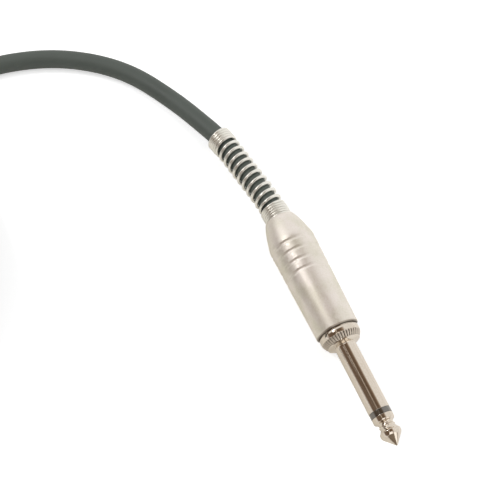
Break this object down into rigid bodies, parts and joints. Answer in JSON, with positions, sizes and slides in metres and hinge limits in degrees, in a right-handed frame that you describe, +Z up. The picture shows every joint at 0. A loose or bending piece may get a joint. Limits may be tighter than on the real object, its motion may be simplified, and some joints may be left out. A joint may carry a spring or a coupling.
{
  "type": "instrument cable",
  "caption": "Coiled instrument cable with a metal phone plug on each end: knurled flange, screw-on tapered barrel and a spring strain relief over a round jacket.",
  "frame": {"origin": "under the middle of the near plug's rigid length, on the plane that the cable lies on", "axes": "+X along the near plug towards its tip, +Z up, the coil lies towards -Y"},
  "size_m": [0.1723, 0.1854, 0.0415],
  "materials": {
    "polished_nickel": "polished nickel plate",
    "satin_nickel": "satin nickel plate",
    "spring_wire": "bright nickel-plated wire",
    "black_insulator": "moulded, slightly glossy",
    "red_fibre": "pressed vulcanised fibre",
    "tinned_brass": "tinned",
    "black_liner": "smooth sheet plastic",
    "cable_jacket": "matt flexible PVC",
    "core_insulation": "natural polyethylene",
    "bare_copper": "bare stranded copper",
    "solder": "bright solder",
    "tie_nylon": "woven hook-and-loop nylon"
  },
  "bodies": {
    "cable_and_contacts": {"near_tip": "polished_nickel", "near_insulator": "black_insulator", "near_sleeve": "polished_nickel", "near_fibre_washer": "red_fibre", "near_tip_lug": "tinned_brass", "near_cable_clamp": "tinned_brass", "near_jacket_end": "cable_jacket", "near_core": "core_insulation", "near_core_strands": "bare_copper", "near_shield_pigtail": "bare_copper", "near_tip_solder": "solder", "near_shield_solder": "solder", "cable_free_stretch": "cable_jacket", "cable_coil": "cable_jacket", "cable_tail": "cable_jacket", "coil_tie": "tie_nylon", "far_tip": "polished_nickel", "far_insulator": "black_insulator", "far_sleeve": "polished_nickel", "far_fibre_washer": "red_fibre", "far_tip_lug": "tinned_brass", "far_cable_clamp": "tinned_brass", "far_jacket_end": "cable_jacket", "far_core": "core_insulation", "far_core_strands": "bare_copper", "far_shield_pigtail": "bare_copper", "far_tip_solder": "solder", "far_shield_solder": "solder"},
    "near_liner_and_spring": {"near_liner": "black_liner", "near_spring": "spring_wire"},
    "near_barrel": {"near_barrel": "satin_nickel"},
    "far_liner_and_spring": {"far_liner": "black_liner", "far_spring": "spring_wire"},
    "far_barrel": {"far_barrel": "satin_nickel"}
  },
  "joints": [
    {"name": "near_barrel_slide", "type": "slide", "parent": "cable_and_contacts", "child": "near_liner_and_spring", "axis": [-1, 0, 0], "range_m": [0, 0.0056], "deforming": ["near_spring"]},
    {"name": "near_barrel_turn", "type": "hinge", "parent": "near_liner_and_spring", "child": "near_barrel", "pos_m": [-0.018, 0, 0.0072], "axis": [-1, 0, 0], "range_deg": [0, 1980]},
    {"name": "far_barrel_slide", "type": "slide", "parent": "cable_and_contacts", "child": "far_liner_and_spring", "axis": [-0.9781, -0.2079, 0], "range_m": [0, 0.0056], "deforming": ["far_spring"]},
    {"name": "far_barrel_turn", "type": "hinge", "parent": "far_liner_and_spring", "child": "far_barrel", "pos_m": [-0.02976, -0.14675, 0.0343], "axis": [-0.9781, -0.2079, 0], "range_deg": [0, 1980]}
  ],
  "couplings": [
    {"joint": "near_barrel_slide", "follows": "near_barrel_turn", "m_per_rad": 0.00015915},
    {"joint": "far_barrel_slide", "follows": "far_barrel_turn", "m_per_rad": 0.00015915}
  ]
}
